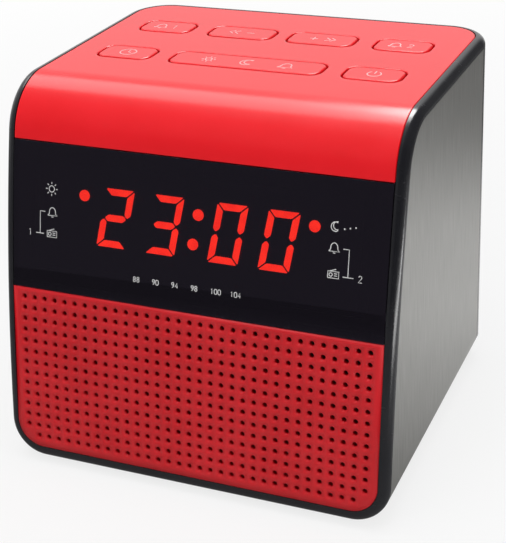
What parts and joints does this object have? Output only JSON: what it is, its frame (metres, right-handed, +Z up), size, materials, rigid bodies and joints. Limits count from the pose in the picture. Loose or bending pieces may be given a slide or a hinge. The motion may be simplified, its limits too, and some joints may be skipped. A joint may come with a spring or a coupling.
{
  "type": "alarm_clock",
  "caption": "Cube-shaped mains clock radio with red top, red perforated grille, smoked display showing 23:00 and seven push keys",
  "frame": {"origin": "middle of the underside of the overall box: the point on the table under the centre of the radio", "axes": "X to the right, Y to the back, Z up; the display and grille face -Y"},
  "size_m": [0.108, 0.0984, 0.102],
  "materials": {
    "black_case": "moulded ABS, satin gloss",
    "grey_side": "satin grey lacquer with a fine vertical grain",
    "red_gloss": "glossy red ABS",
    "red_satin": "satin red ABS",
    "smoked_lens": "dark smoked acrylic, polished",
    "switch_black": "moulded, matt",
    "circuit_board": "glass-fibre laminate with green lacquer",
    "matt_black": "moulded, matt",
    "led_red": "lit diffuser",
    "led_dark": "unlit diffuser",
    "steel": "zinc-plated steel",
    "core_steel": "varnished steel laminations",
    "paper_cone": "black pressed paper",
    "ferrite": "sintered ferrite, matt",
    "capacitor_sleeve": "shrunk PVC sleeve",
    "winding_tape": "yellow polyester tape",
    "cell_sleeve": "plain printed sleeve",
    "rubber_black": "moulded rubber, matt"
  },
  "bodies": {
    "root": {"cabinet": "black_case", "rear_cover": "black_case", "side_cover_right": "grey_side", "side_cover_left": "grey_side", "top_cover": "red_gloss", "display_window": "smoked_lens", "speaker_grille": "red_satin", "tact_switches": "switch_black", "key_board": "circuit_board", "display_module": "matt_black", "lit_segments": "led_red", "dark_segments": "led_dark", "indicator_lamps": "led_red", "display_board": "circuit_board", "speaker_basket": "steel", "speaker_cone": "paper_cone", "speaker_dust_cap": "paper_cone", "speaker_magnet": "ferrite", "main_board": "circuit_board", "filter_capacitors": "capacitor_sleeve", "circuit_chips": "matt_black", "tuner_cans": "steel", "transformer_core": "core_steel", "transformer_winding": "winding_tape", "backup_cells": "cell_sleeve", "cord_gland": "rubber_black", "rubber_feet": "rubber_black", "case_screws": "steel", "board_screws": "steel"},
    "key_alarm_1_body": {"key_alarm_1": "red_gloss", "plunger_alarm_1": "switch_black"},
    "key_tune_down_body": {"key_tune_down": "red_gloss", "plunger_tune_down": "switch_black"},
    "key_tune_up_body": {"key_tune_up": "red_gloss", "plunger_tune_up": "switch_black"},
    "key_alarm_2_body": {"key_alarm_2": "red_gloss", "plunger_alarm_2": "switch_black"},
    "key_clock_set_body": {"key_clock_set": "red_gloss", "plunger_clock_set": "switch_black"},
    "key_snooze_body": {"key_snooze": "red_gloss", "plunger_snooze": "switch_black"},
    "key_power_body": {"key_power": "red_gloss", "plunger_power": "switch_black"},
    "battery_door_body": {"battery_door": "black_case"}
  },
  "joints": [
    {"name": "press_alarm_1", "type": "slide", "parent": "root", "child": "key_alarm_1_body", "axis": [0, 0, -1], "range_m": [0, 0.0005], "stiffness_N_per_m": 600, "springref_m": -0.0008},
    {"name": "press_tune_down", "type": "slide", "parent": "root", "child": "key_tune_down_body", "axis": [0, 0, -1], "range_m": [0, 0.0005], "stiffness_N_per_m": 600, "springref_m": -0.0008},
    {"name": "press_tune_up", "type": "slide", "parent": "root", "child": "key_tune_up_body", "axis": [0, 0, -1], "range_m": [0, 0.0005], "stiffness_N_per_m": 600, "springref_m": -0.0008},
    {"name": "press_alarm_2", "type": "slide", "parent": "root", "child": "key_alarm_2_body", "axis": [0, 0, -1], "range_m": [0, 0.0005], "stiffness_N_per_m": 600, "springref_m": -0.0008},
    {"name": "press_clock_set", "type": "slide", "parent": "root", "child": "key_clock_set_body", "axis": [0, 0, -1], "range_m": [0, 0.0005], "stiffness_N_per_m": 600, "springref_m": -0.0008},
    {"name": "press_snooze", "type": "slide", "parent": "root", "child": "key_snooze_body", "axis": [0, 0, -1], "range_m": [0, 0.0005], "stiffness_N_per_m": 600, "springref_m": -0.0008},
    {"name": "press_power", "type": "slide", "parent": "root", "child": "key_power_body", "axis": [0, 0, -1], "range_m": [0, 0.0005], "stiffness_N_per_m": 600, "springref_m": -0.0008},
    {"name": "door_swing", "type": "hinge", "parent": "root", "child": "battery_door_body", "pos_m": [-0.017, -0.00125, 0.0028], "axis": [-1, 0, 0], "range_deg": [0, 90]}
  ]
}
